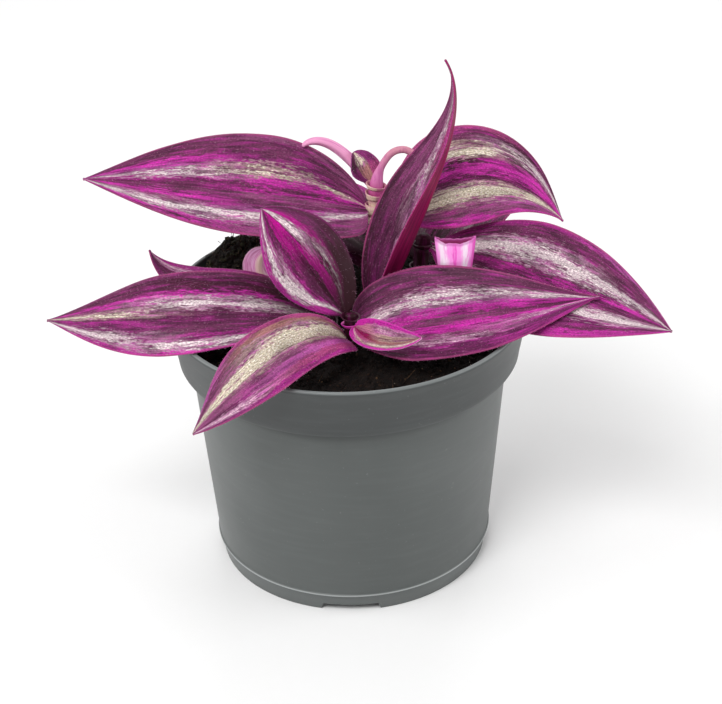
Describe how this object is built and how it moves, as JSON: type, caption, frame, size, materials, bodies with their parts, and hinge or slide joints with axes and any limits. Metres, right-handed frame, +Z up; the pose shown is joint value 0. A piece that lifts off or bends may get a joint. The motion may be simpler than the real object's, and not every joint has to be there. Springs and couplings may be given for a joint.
{
  "type": "potted pink paradise tradescantia",
  "caption": "Small tradescantia with broad pointed leaves striped in magenta, purple and silver, growing from short stems in soil in a round stepped plastic nursery pot.",
  "frame": {"origin": "on the pot's axis, at the level of the foot ring, under the middle of the whole plant's box", "axes": "+Z up along the pot's axis; +X to the right in the front view, along the widest spread of the leaves; the front, with the leaf that hangs over the rim, is toward -Y"},
  "size_m": [0.2004, 0.1364, 0.175],
  "materials": {
    "pot_plastic": "satin",
    "soil": "rough",
    "stem": "smooth",
    "leaf": "satin",
    "young_leaf": "satin",
    "sheath": "satin"
  },
  "bodies": {
    "root": {"pot": "pot_plastic", "soil": "soil", "stem_back": "stem", "stem_front": "stem", "stem_left": "stem", "stem_upright": "stem", "stem_right": "stem", "stem_stub": "stem", "stem_young": "stem", "leaf_upper_left": "leaf", "leaf_lower_left": "leaf", "leaf_behind_left": "leaf", "leaf_middle": "leaf", "leaf_over_rim": "leaf", "leaf_front_right": "leaf", "leaf_right": "leaf", "leaf_upper_right": "leaf", "leaf_upright": "leaf", "leaf_back_left": "leaf", "leaf_back_right": "leaf", "leaf_back": "leaf", "young_leaf_left": "young_leaf", "young_leaf_front": "young_leaf", "young_leaf_rolled": "young_leaf", "young_leaf_round": "young_leaf", "sheath_stub": "sheath"}
  },
  "joints": []
}
